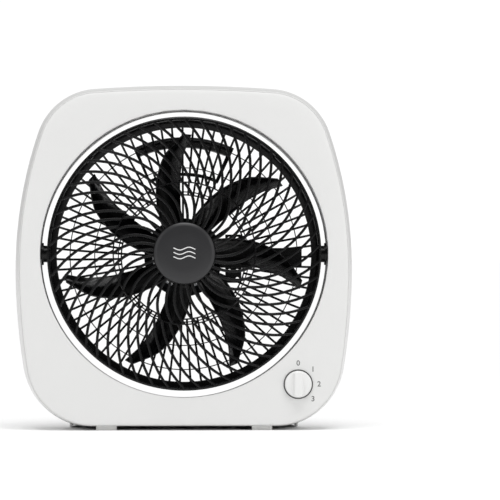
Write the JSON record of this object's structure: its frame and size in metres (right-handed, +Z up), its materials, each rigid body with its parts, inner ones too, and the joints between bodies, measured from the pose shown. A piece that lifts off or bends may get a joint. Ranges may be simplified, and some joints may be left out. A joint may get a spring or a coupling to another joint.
{
  "type": "box fan",
  "caption": "Box fan with a round tilting head in a white squarish two-shell housing, swirl grilles, rear carry handle, speed knob and a foot plate behind.",
  "frame": {"origin": "on the floor, at the middle of the fan's bounding box", "axes": "+X to the right seen from the front, -Y towards the front grille, +Z up"},
  "size_m": [0.406, 0.1553, 0.4125],
  "materials": {
    "white_abs": "satin moulded",
    "knob_white": "satin moulded",
    "black_pp": "satin moulded",
    "blade_black": "glossy moulded",
    "cap_grey": "satin moulded",
    "dark_trim": "satin",
    "foot_rubber": "matte",
    "grey_nylon": "matte",
    "screw_steel": "zinc plated",
    "motor_steel": "pressed",
    "lamination": "stacked",
    "copper": "enamelled wire",
    "brass_tab": "plain",
    "lead_pvc": "matte"
  },
  "bodies": {
    "housing": {"cord_gland": "grey_nylon", "foot_plate": "white_abs", "friction_washers": "black_pp", "front_feet": "foot_rubber", "front_housing": "white_abs", "housing_leads": "lead_pvc", "housing_screws": "screw_steel", "knob_trim_ring": "dark_trim", "left_bushing": "grey_nylon", "rear_feet": "foot_rubber", "rear_housing": "white_abs", "right_bushing": "grey_nylon", "switch_body": "grey_nylon", "switch_nut": "screw_steel", "switch_terminals": "brass_tab"},
    "head": {"front_grille": "black_pp", "hub_cap": "cap_grey", "rear_grille": "black_pp", "carry_handle": "black_pp", "cable_arm_cover": "black_pp", "wire_guard": "black_pp", "grille_clips": "black_pp", "motor_leads": "lead_pvc", "left_trunnion": "black_pp", "right_trunnion": "black_pp", "motor_front_bell": "motor_steel", "motor_rear_bell": "motor_steel", "stator_core": "lamination", "stator_windings": "copper", "motor_bushings": "brass_tab", "motor_screws": "screw_steel", "pivot_keepers": "screw_steel"},
    "impeller_group": {"impeller": "blade_black", "impeller_nut": "blade_black", "motor_shaft": "screw_steel", "rotor": "lamination", "thrust_washers": "grey_nylon"},
    "knob_group": {"speed_knob": "knob_white", "switch_shaft": "screw_steel"}
  },
  "joints": [
    {"name": "head_tilt", "type": "hinge", "parent": "housing", "child": "head", "pos_m": [0, -0.04077, 0.21], "axis": [1, 0, 0], "range_deg": [-90, 90]},
    {"name": "impeller_spin", "type": "hinge", "parent": "head", "child": "impeller_group", "pos_m": [0, -0.02078, 0.20919], "axis": [0, 0.9992, -0.0401], "continuous": true},
    {"name": "speed_select", "type": "hinge", "parent": "housing", "child": "knob_group", "pos_m": [0.1356, -0.06701, 0.05493], "axis": [0, 0.9992, -0.0401], "range_deg": [0, 135]}
  ]
}
